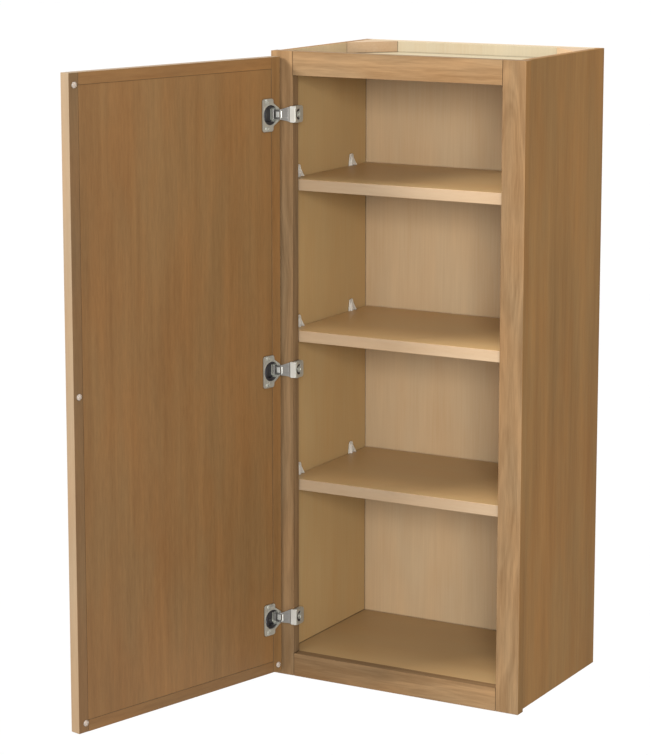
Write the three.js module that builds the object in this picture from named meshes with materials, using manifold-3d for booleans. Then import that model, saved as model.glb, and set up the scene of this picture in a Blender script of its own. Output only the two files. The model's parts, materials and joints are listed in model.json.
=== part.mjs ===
// A one-door hanging wall cabinet with a face frame, three shelves and three cup hinges.
// Millimetres. X runs right across the front, Y runs back to the wall, Z is up.
// The origin is the centre of the upper hanging rail's back face, where the wall holds it.
// Every piece is laid out from the face frame's front lower left corner, and one group
// at the end moves the whole cabinet to the origin.

import * as THREE from "three";
import { mergeVertices } from "three/addons/utils/BufferGeometryUtils.js";
import Module from "manifold-3d";

const wasm = await Module();
wasm.setup();

// Cabinet
const WIDTH = 464;
const HEIGHT = 1066.8;
const DEPTH = 320;
const GAP = 0.3; // between two pieces that touch
const FRAME_THICK = 19;
const FRAME_STILE = 41;
const FRAME_RAIL = 39.5;
const SIDE_THICK = 12.7;
const SIDE_INSET = 6.35; // the face frame stands this far out past each side
const DECK_THICK = 12.7; // top and bottom panels
const TOP_RECESS = 19; // from the sides' top edge down to the top panel
const FLOOR_TOP = 38.1;
const BACK_THICK = 6.4;
const HANGING_RAIL_THICK = 19;
const HANGING_RAIL_HEIGHT = 76;
const DADO_DEPTH = 5;
const TENON = { length: 8, thick: 8, shoulder: 6 };
const CORNER_BLOCK = { alongBack: 62, alongSide: 70 };

// Shelves and their clips
const SHELF_THICK = 19;
const SHELF_FIRST_TOP = 341;
const SHELF_PITCH = 256;
const SHELF_COUNT = 3;
const SHELF_END_GAP = 2.2;
const SHELF_FRONT_GAP = 2; // behind the face frame
const SHELF_BACK_GAP = 1.5;
const CLIP_ROWS = { front: 56, rear: 240 };
const CLIP_PIN = { radius: 2.5, length: 8, underShelf: 2 };
const CLIP = { half: 8.5, plate: 1.5, ledge: 3.5, ledgeReach: 11, peak: 20, peakHalf: 5 };
const PRONG = { foot: 4.6, crotch: 8.5, tip: 15, tipHalf: 2, reach: 7.5, tipReach: 3 };

// Door
const DOOR_THICK = 19;
const DOOR_GAP = 3.5; // between the closed door and the face frame
const DOOR_REVEAL_SIDE = 4;
const DOOR_REVEAL_END = 9;
const DOOR_MEMBER = 19; // width of its stiles and rails
const DOOR_PANEL_THICK = 13;
const DOOR_PANEL_SETBACK = 0.4; // panel's back behind the stiles' backs
const TONGUE = { thick: 6, length: 6, depth: 4 };
const BUMPER = { radius: 5.2, height: 2.9, fromFreeEdge: 11, fromHingeEdge: 7.5 };

// Hinges. In a hinge, "across" is measured from the door's hinge edge towards its free
// edge and "deep" from the door's back face into the door, with the door closed.
const OPEN_ANGLE = 104.3;
const PIVOT = { across: 7, deep: 8.5 };
const HINGE_INSET = 104; // from either end of the cabinet to the nearest hinge
const CUP = { across: 22.5, radius: 17.5, deep: 11.5, wall: 0.8 };
const POCKET = { from: 2.7, to: 11.8, halfHeight: 9, deep: 12.5 };
const FLANGE = {
  near: 2.2,
  ear: 16,
  far: 41,
  nearHalf: 10,
  bodyHalf: 19,
  earHalf: 27,
  thick: 1,
  corner: 4,
};
const PIN = { radius: 1.3, halfLength: 9.6 };
const KNUCKLE = { radius: 2.6, halfHeight: 7.5 };
const ARM = {
  thick: 1.5,
  level: -12.6, // height of its part over the stile's front, along Y
  bendFrom: 25,
  bendTo: 33.5,
  bendRadius: 2,
  front: -1.15,
  end: 46.5,
  endHalf: 13.5,
  endLength: 8,
};
const BASE = {
  thick: 6,
  front: -0.2,
  back: 24,
  halfHeight: 14,
  frontCorner: 2,
  backCorner: 5,
  screwAt: 10,
  recessRadius: 5.5,
  recessDeep: 2.6,
};
const SCREW = {
  headRadius: 3.5,
  headHigh: 1.1,
  shankRadius: 1.7,
  slotWide: 1.1,
  slotLong: 4.2,
  slotDeep: 0.7,
  pointRadius: 0.5,
  pointLong: 2.5,
};
const CUP_SCREW = { across: 31, spacing: 45, length: 9.5 };
const BASE_SCREW_LENGTH = 19;

// Facets round small and large circles
const SMALL_SIDES = 12;
const ROUND_SIDES = 16;
const CUP_SIDES = 32;
const CORNER_SEGMENTS = 3;
const OVERCUT = 1; // how far a cut runs past the face it opens

// Places that follow from the above
const INNER_LEFT = SIDE_INSET + SIDE_THICK;
const BACK_FRONT = DEPTH - HANGING_RAIL_THICK - GAP - BACK_THICK;
const TOP_PANEL_TOP = HEIGHT - TOP_RECESS;
const HANG_HEIGHT = HEIGHT - HANGING_RAIL_HEIGHT / 2;
const DOOR_BACK = -DOOR_GAP;
const PIVOT_X = DOOR_REVEAL_SIDE + PIVOT.across;
const PIVOT_Y = DOOR_BACK - PIVOT.deep;
const HINGE_HEIGHTS = [HINGE_INSET, HEIGHT / 2, HEIGHT - HINGE_INSET];
const SHELF_TOPS = Array.from({ length: SHELF_COUNT }, (_, i) => SHELF_FIRST_TOP + i * SHELF_PITCH);

const finish = {
  carcass: new THREE.MeshStandardMaterial({ color: 0xa07c4e, roughness: 0.55 }),
  interior: new THREE.MeshStandardMaterial({ color: 0xcdb088, roughness: 0.5 }),
  frame: new THREE.MeshStandardMaterial({ color: 0xb89468, roughness: 0.5 }),
  door: new THREE.MeshStandardMaterial({ color: 0x9a7a50, roughness: 0.5 }),
  steel: new THREE.MeshStandardMaterial({ color: 0xb8b6b0, roughness: 0.3, metalness: 1 }),
  clearPlastic: new THREE.MeshStandardMaterial({ color: 0xe8e2d4, roughness: 0.25 }),
};

// ---- Solid helpers ----

function solid(geometry) {
  const bare = geometry.clone();
  bare.deleteAttribute("normal");
  bare.deleteAttribute("uv");
  const merged = mergeVertices(bare, 1e-4);
  return new wasm.Manifold(
    new wasm.Mesh({
      numProp: 3,
      vertProperties: new Float32Array(merged.attributes.position.array),
      triVerts: new Uint32Array(merged.index.array),
    }),
  );
}

function geometryOf(body) {
  const { vertProperties, triVerts } = body.getMesh();
  const geometry = new THREE.BufferGeometry();
  geometry.setAttribute("position", new THREE.BufferAttribute(new Float32Array(vertProperties), 3));
  geometry.setIndex(new THREE.BufferAttribute(new Uint32Array(triVerts), 1));
  geometry.computeVertexNormals();
  return geometry;
}

function piece(name, body, material) {
  const mesh = new THREE.Mesh(geometryOf(body), material);
  mesh.name = name;
  return mesh;
}

function box([x0, x1], [y0, y1], [z0, z1]) {
  const size = [x1 - x0, y1 - y0, z1 - z0].map(Math.abs);
  const geometry = new THREE.BoxGeometry(...size);
  geometry.translate((x0 + x1) / 2, (y0 + y1) / 2, (z0 + z1) / 2);
  return solid(geometry);
}

// A rod along an axis ("x", "y" or "z") from one place on it to another.
function rod(axis, radius, from, to, [a, b], sides = SMALL_SIDES) {
  const geometry = new THREE.CylinderGeometry(radius, radius, Math.abs(to - from), sides);
  const middle = (from + to) / 2;
  if (axis === "x") geometry.rotateZ(Math.PI / 2).translate(middle, a, b);
  if (axis === "y") geometry.translate(a, middle, b);
  if (axis === "z") geometry.rotateX(Math.PI / 2).translate(a, b, middle);
  return solid(geometry);
}

// A closed outline from corners given as [x, y, radius]; a corner with a radius is rounded.
function outline(corners) {
  const shape = new THREE.Shape();
  const count = corners.length;
  corners.forEach(([x, y, radius = 0], i) => {
    const corner = new THREE.Vector2(x, y);
    const before = new THREE.Vector2(...corners[(i + count - 1) % count]).sub(corner).setLength(radius);
    const after = new THREE.Vector2(...corners[(i + 1) % count]).sub(corner).setLength(radius);
    const start = before.add(corner);
    const end = after.add(corner);
    if (i === 0) shape.moveTo(start.x, start.y);
    else shape.lineTo(start.x, start.y);
    if (radius > 0) shape.quadraticCurveTo(x, y, end.x, end.y);
  });
  return shape;
}

function prism(shape, from, to) {
  const geometry = new THREE.ExtrudeGeometry(shape, {
    depth: to - from,
    bevelEnabled: false,
    curveSegments: CORNER_SEGMENTS,
  });
  return geometry.translate(0, 0, from);
}

// An outline drawn in X and Z, swept along Y.
function prismAlongY(shape, from, to) {
  return solid(prism(shape, -to, -from).rotateX(Math.PI / 2));
}

// An outline drawn in Y and Z, swept along X.
function prismAlongX(shape, from, to) {
  const turn = new THREE.Matrix4().makeBasis(
    new THREE.Vector3(0, 1, 0),
    new THREE.Vector3(0, 0, 1),
    new THREE.Vector3(1, 0, 0),
  );
  return solid(prism(shape, from, to).applyMatrix4(turn));
}

// The same body on the other side of the cabinet.
function mirrored(body) {
  return body.mirror([1, 0, 0]).translate([WIDTH, 0, 0]);
}

function total(bodies) {
  return bodies.reduce((sum, body) => sum.add(body));
}

function without(body, cuts) {
  return cuts.reduce((rest, cut) => rest.subtract(cut), body);
}

function between(centre, half) {
  return [centre - half, centre + half];
}

// ---- Carcass ----

function clipPlaces() {
  return SHELF_TOPS.flatMap((top, i) =>
    Object.entries(CLIP_ROWS).map(([row, y]) => ({ name: `${i + 1}_${row}`, y, top })),
  );
}

// From the shelf's top down to the middle of the pin.
const CLIP_PIN_DROP = SHELF_THICK + CLIP_PIN.underShelf;

function clipPinHole({ y, top }) {
  const end = INNER_LEFT - CLIP_PIN.length - 2 * GAP;
  return rod("x", CLIP_PIN.radius + GAP, end, INNER_LEFT + OVERCUT, [y, top - CLIP_PIN_DROP]);
}

function leftSide() {
  const groove = [INNER_LEFT - DADO_DEPTH, INNER_LEFT + OVERCUT];
  const backGroove = [BACK_FRONT - GAP, BACK_FRONT + BACK_THICK + GAP];
  const deckGroove = (top) =>
    box(groove, [0, BACK_FRONT + OVERCUT], [top - DECK_THICK - GAP, top + GAP]);
  return without(box([SIDE_INSET, INNER_LEFT], [FRAME_THICK + GAP, DEPTH], [0, HEIGHT]), [
    deckGroove(TOP_PANEL_TOP),
    deckGroove(FLOOR_TOP),
    box(groove, backGroove, [-OVERCUT, HEIGHT + OVERCUT]),
    ...clipPlaces().map(clipPinHole),
  ]);
}

function deck(top) {
  const reach = INNER_LEFT - DADO_DEPTH + GAP;
  return box(
    [reach, WIDTH - reach],
    [FRAME_THICK + GAP, BACK_FRONT - GAP],
    [top - DECK_THICK, top],
  );
}

function backPanel() {
  const reach = INNER_LEFT - DADO_DEPTH + GAP;
  return box([reach, WIDTH - reach], [BACK_FRONT, BACK_FRONT + BACK_THICK], [0, HEIGHT]);
}

function hangingRail(from) {
  const reach = INNER_LEFT + GAP;
  return box(
    [reach, WIDTH - reach],
    [DEPTH - HANGING_RAIL_THICK, DEPTH],
    [from, from + HANGING_RAIL_HEIGHT],
  );
}

// A three-cornered block in the rear corner of the top recess.
function cornerBlock() {
  const x = INNER_LEFT + GAP;
  const y = BACK_FRONT - GAP;
  const shape = outline([
    [x, y],
    [x, y - CORNER_BLOCK.alongSide],
    [x + CORNER_BLOCK.alongBack, y],
  ]);
  return solid(prism(shape, TOP_PANEL_TOP + GAP, HEIGHT));
}

function shelf(top) {
  const reach = INNER_LEFT + SHELF_END_GAP;
  const deep = [FRAME_THICK + SHELF_FRONT_GAP, BACK_FRONT - SHELF_BACK_GAP];
  return box([reach, WIDTH - reach], deep, [top - SHELF_THICK, top]);
}

// A locking clip on the left side: a plate up the side with a pin, a ledge under the
// shelf, and two splayed prongs that hold the shelf down.
function shelfClip(y, top) {
  const { half } = CLIP;
  const ledgeTop = -SHELF_THICK - GAP;
  const ledge = [ledgeTop - CLIP.ledge, ledgeTop];
  const plateBack = INNER_LEFT + GAP;
  const plateFront = plateBack + CLIP.plate;
  const shoulder = CLIP.peak / 5;
  const plate = outline([
    [-half, ledge[0], 1.5],
    [half, ledge[0], 1.5],
    [half, shoulder],
    [CLIP.peakHalf, CLIP.peak, 4],
    [-CLIP.peakHalf, CLIP.peak, 4],
    [-half, shoulder],
  ]);
  const prongs = outline([
    [-half, GAP],
    [-PRONG.foot, GAP],
    [0, PRONG.crotch],
    [PRONG.foot, GAP],
    [half, GAP],
    [PRONG.tipHalf, PRONG.tip, 1],
    [-PRONG.tipHalf, PRONG.tip, 1],
  ]);
  // seen from the front, the prongs lean back to the plate as they rise
  const slope = outline([
    [plateBack, GAP],
    [INNER_LEFT + PRONG.reach, GAP],
    [INNER_LEFT + PRONG.tipReach, PRONG.tip + OVERCUT],
    [plateBack, PRONG.tip + OVERCUT],
  ]);
  const lean = prismAlongY(slope, -half - OVERCUT, half + OVERCUT);
  const pinEnd = INNER_LEFT - CLIP_PIN.length;
  const local = total([
    prismAlongX(plate, plateBack, plateFront),
    prismAlongX(prongs, plateBack, INNER_LEFT + PRONG.reach + OVERCUT).intersect(lean),
    box([plateBack, INNER_LEFT + CLIP.ledgeReach], [-half, half], ledge),
    rod("x", CLIP_PIN.radius, pinEnd, plateFront, [0, -CLIP_PIN_DROP]),
  ]);
  return local.translate([0, y, top]);
}

// ---- Face frame ----

function tenons(z0, z1, grow) {
  const [front, back] = between(FRAME_THICK / 2, TENON.thick / 2 + grow);
  const tip = FRAME_STILE - TENON.length - grow;
  return box(
    [tip, WIDTH - tip],
    [front, back],
    [z0 + TENON.shoulder - grow, z1 - TENON.shoulder + grow],
  );
}

const FRAME_RAIL_SPANS = {
  bottom: [0, FRAME_RAIL],
  top: [HEIGHT - FRAME_RAIL, HEIGHT],
};

function frameRail([z0, z1]) {
  const reach = FRAME_STILE + GAP;
  return box([reach, WIDTH - reach], [0, FRAME_THICK], [z0, z1]).add(tenons(z0, z1, 0));
}

function frameStile(cuts) {
  const mortises = Object.values(FRAME_RAIL_SPANS).map(([z0, z1]) => tenons(z0, z1, GAP));
  return without(box([0, FRAME_STILE], [0, FRAME_THICK], [0, HEIGHT]), [...mortises, ...cuts]);
}

// ---- Door, in its closed place ----

const doorX = (across) => DOOR_REVEAL_SIDE + across;
const doorY = (deep) => DOOR_BACK - deep;
const DOOR_WIDTH = WIDTH - 2 * DOOR_REVEAL_SIDE;
const DOOR_Z = [DOOR_REVEAL_END, HEIGHT - DOOR_REVEAL_END];
const PANEL_Z = [DOOR_Z[0] + DOOR_MEMBER, DOOR_Z[1] - DOOR_MEMBER];

// The flat ring that the panel's tongue and the rails' stub tenons fill, grown for grooves.
function tonguePlate(across, z, grow) {
  const deep = [TONGUE.depth - grow, TONGUE.depth + TONGUE.thick + grow].map(doorY);
  return box(across.map(doorX), deep, z);
}

function doorPanel() {
  const inner = [DOOR_MEMBER + GAP, DOOR_WIDTH - DOOR_MEMBER - GAP];
  const z = [PANEL_Z[0] + GAP, PANEL_Z[1] - GAP];
  const reach = TONGUE.length;
  const tongue = tonguePlate(
    [DOOR_MEMBER - reach, DOOR_WIDTH - DOOR_MEMBER + reach],
    [PANEL_Z[0] - reach, PANEL_Z[1] + reach],
    0,
  );
  const deep = [DOOR_PANEL_SETBACK, DOOR_PANEL_SETBACK + DOOR_PANEL_THICK].map(doorY);
  const body = box(inner.map(doorX), deep, z).add(tongue);
  return without(body, [...hingePockets(), ...cupScrewHoles()]);
}

function doorStile(from) {
  const groove = tonguePlate(
    [DOOR_MEMBER - TONGUE.length - GAP, DOOR_WIDTH - DOOR_MEMBER + TONGUE.length + GAP],
    [DOOR_Z[0] - OVERCUT, DOOR_Z[1] + OVERCUT],
    GAP,
  );
  const body = box([from, from + DOOR_MEMBER].map(doorX), [0, DOOR_THICK].map(doorY), DOOR_Z);
  return without(body, [groove, ...hingePockets()]);
}

function doorRail([z0, z1]) {
  const body = box(
    [DOOR_MEMBER + GAP, DOOR_WIDTH - DOOR_MEMBER - GAP].map(doorX),
    [0, DOOR_THICK].map(doorY),
    [z0, z1],
  );
  const stubs = tonguePlate(
    [DOOR_MEMBER - TONGUE.length, DOOR_WIDTH - DOOR_MEMBER + TONGUE.length],
    [z0, z1],
    0,
  );
  const groove = tonguePlate(
    [0, DOOR_WIDTH],
    [PANEL_Z[0] - TONGUE.length - GAP, PANEL_Z[1] + TONGUE.length + GAP],
    GAP,
  );
  return body.add(stubs).subtract(groove);
}

// A round-topped soft bumper on the door's back.
function bumper(across, z) {
  const steps = 4;
  const dome = Array.from({ length: steps + 1 }, (_, i) => {
    const turn = (i / steps) * (Math.PI / 2);
    return new THREE.Vector2(BUMPER.radius * Math.cos(turn), BUMPER.height * Math.sin(turn));
  });
  dome[steps].x = 0;
  const geometry = new THREE.LatheGeometry([new THREE.Vector2(0, 0), ...dome], ROUND_SIDES);
  geometry.translate(doorX(across), DOOR_BACK + GAP, z);
  return solid(geometry);
}

// Where each bumper sits: across the door and up it.
const BUMPERS = {
  bumper_free_top: [DOOR_WIDTH - BUMPER.fromFreeEdge, DOOR_Z[1] - 19],
  bumper_free_middle: [DOOR_WIDTH - BUMPER.fromFreeEdge, HEIGHT / 2 + 20],
  bumper_free_bottom: [DOOR_WIDTH - BUMPER.fromFreeEdge - 3, DOOR_Z[0] + 15],
  bumper_hinge_bottom: [BUMPER.fromHingeEdge, DOOR_Z[0] + 11],
};

// ---- Hinge ----

// The room that a hinge's cup and pin need in the door.
function hingePockets() {
  const centre = doorX(CUP.across);
  const above = doorY(-OVERCUT);
  const sides = [POCKET.from - GAP, POCKET.to + GAP].map(doorX);
  const deep = [above, doorY(POCKET.deep + GAP)];
  return HINGE_HEIGHTS.map((z) => {
    const bowl = rod("y", CUP.radius + GAP, above, doorY(CUP.deep + GAP), [centre, z], CUP_SIDES);
    return bowl.add(box(sides, deep, between(z, PIN.halfLength + GAP)));
  });
}

function cupScrewHeights(z) {
  return { upper: z + CUP_SCREW.spacing / 2, lower: z - CUP_SCREW.spacing / 2 };
}

function cupScrewHole(height) {
  const place = [doorX(CUP_SCREW.across), height];
  return rod("y", SCREW.shankRadius + GAP, doorY(-2 * OVERCUT), doorY(CUP_SCREW.length + GAP), place);
}

function cupScrewHoles() {
  return HINGE_HEIGHTS.flatMap((z) => Object.values(cupScrewHeights(z)).map(cupScrewHole));
}

// The pressed steel cup with its flange, and the pocket that holds the pin.
function hingeCup(z) {
  const { near, ear, far, nearHalf, bodyHalf, earHalf, thick, corner } = FLANGE;
  const flange = outline([
    [far, -earHalf, corner],
    [far, earHalf, corner],
    [ear, earHalf, corner],
    [ear, bodyHalf, corner - 1],
    [near, nearHalf, corner / 2],
    [near, -nearHalf, corner / 2],
    [ear, -bodyHalf, corner - 1],
    [ear, -earHalf, corner],
  ]);
  const face = doorY(-GAP - thick);
  const centre = [doorX(CUP.across), 0];
  const shell = total([
    prismAlongY(flange, GAP, GAP + thick).translate([doorX(0), DOOR_BACK, 0]),
    rod("y", CUP.radius, face, doorY(CUP.deep), centre, CUP_SIDES),
    box(
      [POCKET.from, POCKET.to].map(doorX),
      [face, doorY(POCKET.deep)],
      between(0, POCKET.halfHeight),
    ),
  ]);
  const open = face + OVERCUT;
  const pinHalf = POCKET.halfHeight + OVERCUT;
  const cuts = [
    rod("y", CUP.radius - CUP.wall, open, doorY(CUP.deep - CUP.wall), centre, CUP_SIDES),
    box(
      [POCKET.from + CUP.wall, POCKET.to - CUP.wall].map(doorX),
      [open, doorY(POCKET.deep - CUP.wall)],
      between(0, POCKET.halfHeight - CUP.wall),
    ),
    rod("z", PIN.radius + GAP, -pinHalf, pinHalf, [PIVOT_X, PIVOT_Y]),
    ...Object.values(cupScrewHeights(0)).map(cupScrewHole),
  ];
  return without(shell, cuts).translate([0, 0, z]);
}

function hingePin(z) {
  return rod("z", PIN.radius, z - PIN.halfLength, z + PIN.halfLength, [PIVOT_X, PIVOT_Y]);
}

// The arm: a strip bent from the knuckle in the cup, over the stile's front, to the base.
// It widens from the knuckle to its far end.
function hingeArm(z) {
  const half = ARM.thick / 2;
  const run = new THREE.Vector2(ARM.bendTo - ARM.bendFrom, ARM.front - ARM.level);
  const shift = half * Math.tan(run.angle() / 2);
  const strip = outline([
    [PIVOT_X, ARM.level - half],
    [ARM.bendFrom + shift, ARM.level - half, ARM.bendRadius],
    [ARM.bendTo + shift, ARM.front - half, ARM.bendRadius],
    [ARM.end, ARM.front - half],
    [ARM.end, ARM.front + half],
    [ARM.bendTo - shift, ARM.front + half, ARM.bendRadius],
    [ARM.bendFrom - shift, ARM.level + half, ARM.bendRadius],
    [PIVOT_X, ARM.level + half],
  ]);
  const neck = KNUCKLE.halfHeight;
  const taperFrom = ARM.bendFrom - 2 * OVERCUT;
  const taperTo = ARM.end - ARM.endLength;
  const plan = outline([
    [PIVOT_X - OVERCUT, -neck],
    [taperFrom, -neck],
    [taperTo, -ARM.endHalf],
    [ARM.end, -ARM.endHalf, ARM.bendRadius],
    [ARM.end, ARM.endHalf, ARM.bendRadius],
    [taperTo, ARM.endHalf],
    [taperFrom, neck],
    [PIVOT_X - OVERCUT, neck],
  ]);
  const planFrom = ARM.level - ARM.thick;
  const planTo = ARM.front + ARM.thick;
  const bar = solid(prism(strip, -ARM.endHalf, ARM.endHalf));
  const tapered = bar.intersect(prismAlongY(plan, planFrom, planTo));
  const axis = [PIVOT_X, PIVOT_Y];
  const barrel = rod("z", KNUCKLE.radius, -neck, neck, axis, ROUND_SIDES);
  const bore = rod("z", PIN.radius + GAP, -neck - OVERCUT, neck + OVERCUT, axis);
  return tapered.add(barrel).subtract(bore).translate([0, 0, z]);
}

const BASE_X = [FRAME_STILE + GAP, FRAME_STILE + GAP + BASE.thick];

// The base: a block on the stile's inner edge with a round recess for its screw.
function hingeBase(z) {
  const { front, back, halfHeight, frontCorner, backCorner } = BASE;
  const face = outline([
    [front, -halfHeight, frontCorner],
    [back, -halfHeight, backCorner],
    [back, halfHeight, backCorner],
    [front, halfHeight, frontCorner],
  ]);
  const at = [BASE.screwAt, 0];
  const [underside, top] = BASE_X;
  return without(prismAlongX(face, underside, top), [
    rod("x", BASE.recessRadius, top - BASE.recessDeep, top + OVERCUT, at, ROUND_SIDES),
    rod("x", SCREW.shankRadius + GAP, underside - OVERCUT, top + OVERCUT, at),
  ]).translate([0, 0, z]);
}

// A cross-recessed screw along +Y: its head's underside is at y = 0 and the tip at y = -length.
function screw(length) {
  const { headRadius, headHigh, shankRadius, slotWide, slotLong, slotDeep } = SCREW;
  const profile = [
    [0, -length],
    [SCREW.pointRadius, -length],
    [shankRadius, SCREW.pointLong - length],
    [shankRadius, 0],
    [headRadius, 0],
    [headRadius, headHigh * 0.45],
    [headRadius * 0.72, headHigh],
    [0, headHigh],
  ].map(([x, y]) => new THREE.Vector2(x, y));
  const slot = [headHigh - slotDeep, headHigh + OVERCUT];
  const arm = (x, z) => box(between(0, x), slot, between(0, z));
  return without(solid(new THREE.LatheGeometry(profile, SMALL_SIDES)), [
    arm(slotWide / 2, slotLong / 2),
    arm(slotLong / 2, slotWide / 2),
  ]);
}

function cupScrew(z) {
  const under = DOOR_BACK + FLANGE.thick + 2 * GAP;
  const length = CUP_SCREW.length + FLANGE.thick + 2 * GAP;
  return screw(length).translate([doorX(CUP_SCREW.across), under, z]);
}

function baseScrew(z) {
  const under = BASE_X[1] - BASE.recessDeep + GAP;
  return screw(BASE_SCREW_LENGTH).rotate([0, 0, -90]).translate([under, BASE.screwAt, z]);
}

function baseScrewHoles() {
  const tip = BASE_X[1] - BASE.recessDeep - BASE_SCREW_LENGTH;
  return HINGE_HEIGHTS.map((z) =>
    rod("x", SCREW.shankRadius + GAP, tip, FRAME_STILE + OVERCUT, [BASE.screwAt, z]),
  );
}

// ---- Assembly ----

function cabinet() {
  const group = new THREE.Group();
  const add = (name, body, material) => group.add(piece(name, body, material));
  const addPair = (name, body, material) => {
    add(`${name}_left`, body, material);
    add(`${name}_right`, mirrored(body), material);
  };
  addPair("side", leftSide(), finish.carcass);
  add("top_panel", deck(TOP_PANEL_TOP), finish.interior);
  add("bottom_panel", deck(FLOOR_TOP), finish.interior);
  add("back_panel", backPanel(), finish.interior);
  add("hanging_rail_top", hangingRail(HEIGHT - HANGING_RAIL_HEIGHT), finish.interior);
  add("hanging_rail_bottom", hangingRail(0), finish.interior);
  addPair("corner_block", cornerBlock(), finish.interior);
  add("frame_stile_left", frameStile(baseScrewHoles()), finish.frame);
  add("frame_stile_right", mirrored(frameStile([])), finish.frame);
  add("frame_rail_top", frameRail(FRAME_RAIL_SPANS.top), finish.frame);
  add("frame_rail_bottom", frameRail(FRAME_RAIL_SPANS.bottom), finish.frame);
  SHELF_TOPS.forEach((top, i) => add(`shelf_${i + 1}`, shelf(top), finish.interior));
  clipPlaces().forEach(({ name, y, top }) =>
    addPair(`shelf_clip_${name}`, shelfClip(y, top), finish.clearPlastic),
  );
  HINGE_HEIGHTS.forEach((z, i) => {
    add(`hinge_${i + 1}_arm`, hingeArm(z), finish.steel);
    add(`hinge_${i + 1}_base`, hingeBase(z), finish.steel);
    add(`hinge_${i + 1}_base_screw`, baseScrew(z), finish.steel);
  });
  return group;
}

function door() {
  const closed = new THREE.Group();
  closed.position.set(-PIVOT_X, -PIVOT_Y, 0);
  const add = (name, body, material) => closed.add(piece(name, body, material));
  add("door_panel", doorPanel(), finish.door);
  add("door_stile_hinge", doorStile(0), finish.door);
  add("door_stile_free", doorStile(DOOR_WIDTH - DOOR_MEMBER), finish.door);
  add("door_rail_top", doorRail([PANEL_Z[1], DOOR_Z[1]]), finish.door);
  add("door_rail_bottom", doorRail([DOOR_Z[0], PANEL_Z[0]]), finish.door);
  for (const [name, [across, z]] of Object.entries(BUMPERS)) {
    add(name, bumper(across, z), finish.clearPlastic);
  }
  HINGE_HEIGHTS.forEach((z, i) => {
    add(`hinge_${i + 1}_cup`, hingeCup(z), finish.steel);
    add(`hinge_${i + 1}_pin`, hingePin(z), finish.steel);
    for (const [place, height] of Object.entries(cupScrewHeights(z))) {
      add(`hinge_${i + 1}_cup_screw_${place}`, cupScrew(height), finish.steel);
    }
  });

  const swung = new THREE.Group();
  swung.position.set(PIVOT_X, PIVOT_Y, 0);
  swung.rotation.z = THREE.MathUtils.degToRad(-OPEN_ANGLE);
  swung.add(closed);
  return swung;
}

const wallCabinet = new THREE.Group();
wallCabinet.position.set(-WIDTH / 2, -DEPTH, -HANG_HEIGHT);
wallCabinet.add(cabinet(), door());

export default wallCabinet;
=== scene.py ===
"""A one-door hanging wall cabinet, open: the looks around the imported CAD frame.

Metres, in the frame's own axes: X right across the front, Y back to the wall, Z up.
"""

import json
import math

import bmesh
import bpy
from mathutils import Matrix, Vector


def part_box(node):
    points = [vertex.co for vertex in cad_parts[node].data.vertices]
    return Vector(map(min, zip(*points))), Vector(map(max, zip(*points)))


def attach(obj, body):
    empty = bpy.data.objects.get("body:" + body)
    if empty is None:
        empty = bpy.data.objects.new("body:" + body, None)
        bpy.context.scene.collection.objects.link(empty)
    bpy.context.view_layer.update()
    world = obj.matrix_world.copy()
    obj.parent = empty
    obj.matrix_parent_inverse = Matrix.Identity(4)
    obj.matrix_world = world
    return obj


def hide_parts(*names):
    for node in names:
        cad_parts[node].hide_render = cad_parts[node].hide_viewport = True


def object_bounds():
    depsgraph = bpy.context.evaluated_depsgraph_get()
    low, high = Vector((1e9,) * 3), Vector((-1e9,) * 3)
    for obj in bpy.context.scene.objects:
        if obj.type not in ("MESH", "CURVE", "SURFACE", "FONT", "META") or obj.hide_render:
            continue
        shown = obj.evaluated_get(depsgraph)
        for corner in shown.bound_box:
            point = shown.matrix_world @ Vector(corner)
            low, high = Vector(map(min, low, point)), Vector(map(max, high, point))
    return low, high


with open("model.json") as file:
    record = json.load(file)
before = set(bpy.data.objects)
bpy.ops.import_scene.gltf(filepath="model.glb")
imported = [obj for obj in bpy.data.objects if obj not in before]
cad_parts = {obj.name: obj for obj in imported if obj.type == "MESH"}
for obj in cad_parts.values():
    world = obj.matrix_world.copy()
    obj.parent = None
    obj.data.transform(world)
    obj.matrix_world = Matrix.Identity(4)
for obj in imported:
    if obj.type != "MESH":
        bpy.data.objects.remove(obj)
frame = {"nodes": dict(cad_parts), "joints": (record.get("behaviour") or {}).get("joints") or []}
cad_box = [list(corner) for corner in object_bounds()]

MM = 0.001
NODES = frame["nodes"]
SWING = frame["joints"][0]
PIVOT = Vector(SWING["pos_m"])
OPEN_ANGLE = math.radians(SWING["range_deg"][1])

# ---- Woods ----

# Each wood's middle tone in linear light, and how far its dark and light tones lie from that.
OAK = ((0.150, 0.076, 0.026), 0.23)
STILE_OAK = ((0.120, 0.065, 0.026), 0.23)
SIDE_OAK = ((0.176, 0.092, 0.032), 0.22)
FRAME_OAK = ((0.143, 0.086, 0.042), 0.25)
EDGE_OAK = ((0.172, 0.117, 0.067), 0.12)
BAND_MAPLE = ((0.236, 0.165, 0.100), 0.10)
MAPLE = ((0.345, 0.241, 0.137), 0.10)
INSIDE_MAPLE = ((0.342, 0.226, 0.101), 0.06)
SHELF_MAPLE = ((0.350, 0.223, 0.100), 0.07)
BIRCH = ((0.229, 0.190, 0.123), 0.08)
PALE_MAPLE = ((0.341, 0.258, 0.155), 0.08)
BLOCK_MAPLE = ((0.282, 0.193, 0.113), 0.12)

# ---- Shader helpers ----


def new_material(name, **sockets):
    """A material and its shader, with the shader's sockets set by name."""
    material = bpy.data.materials.new(name)
    material.use_nodes = True
    shader = material.node_tree.nodes["Principled BSDF"]
    for socket, value in sockets.items():
        shader.inputs[socket.replace("_", " ")].default_value = value
    return material, material.node_tree, shader


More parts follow.
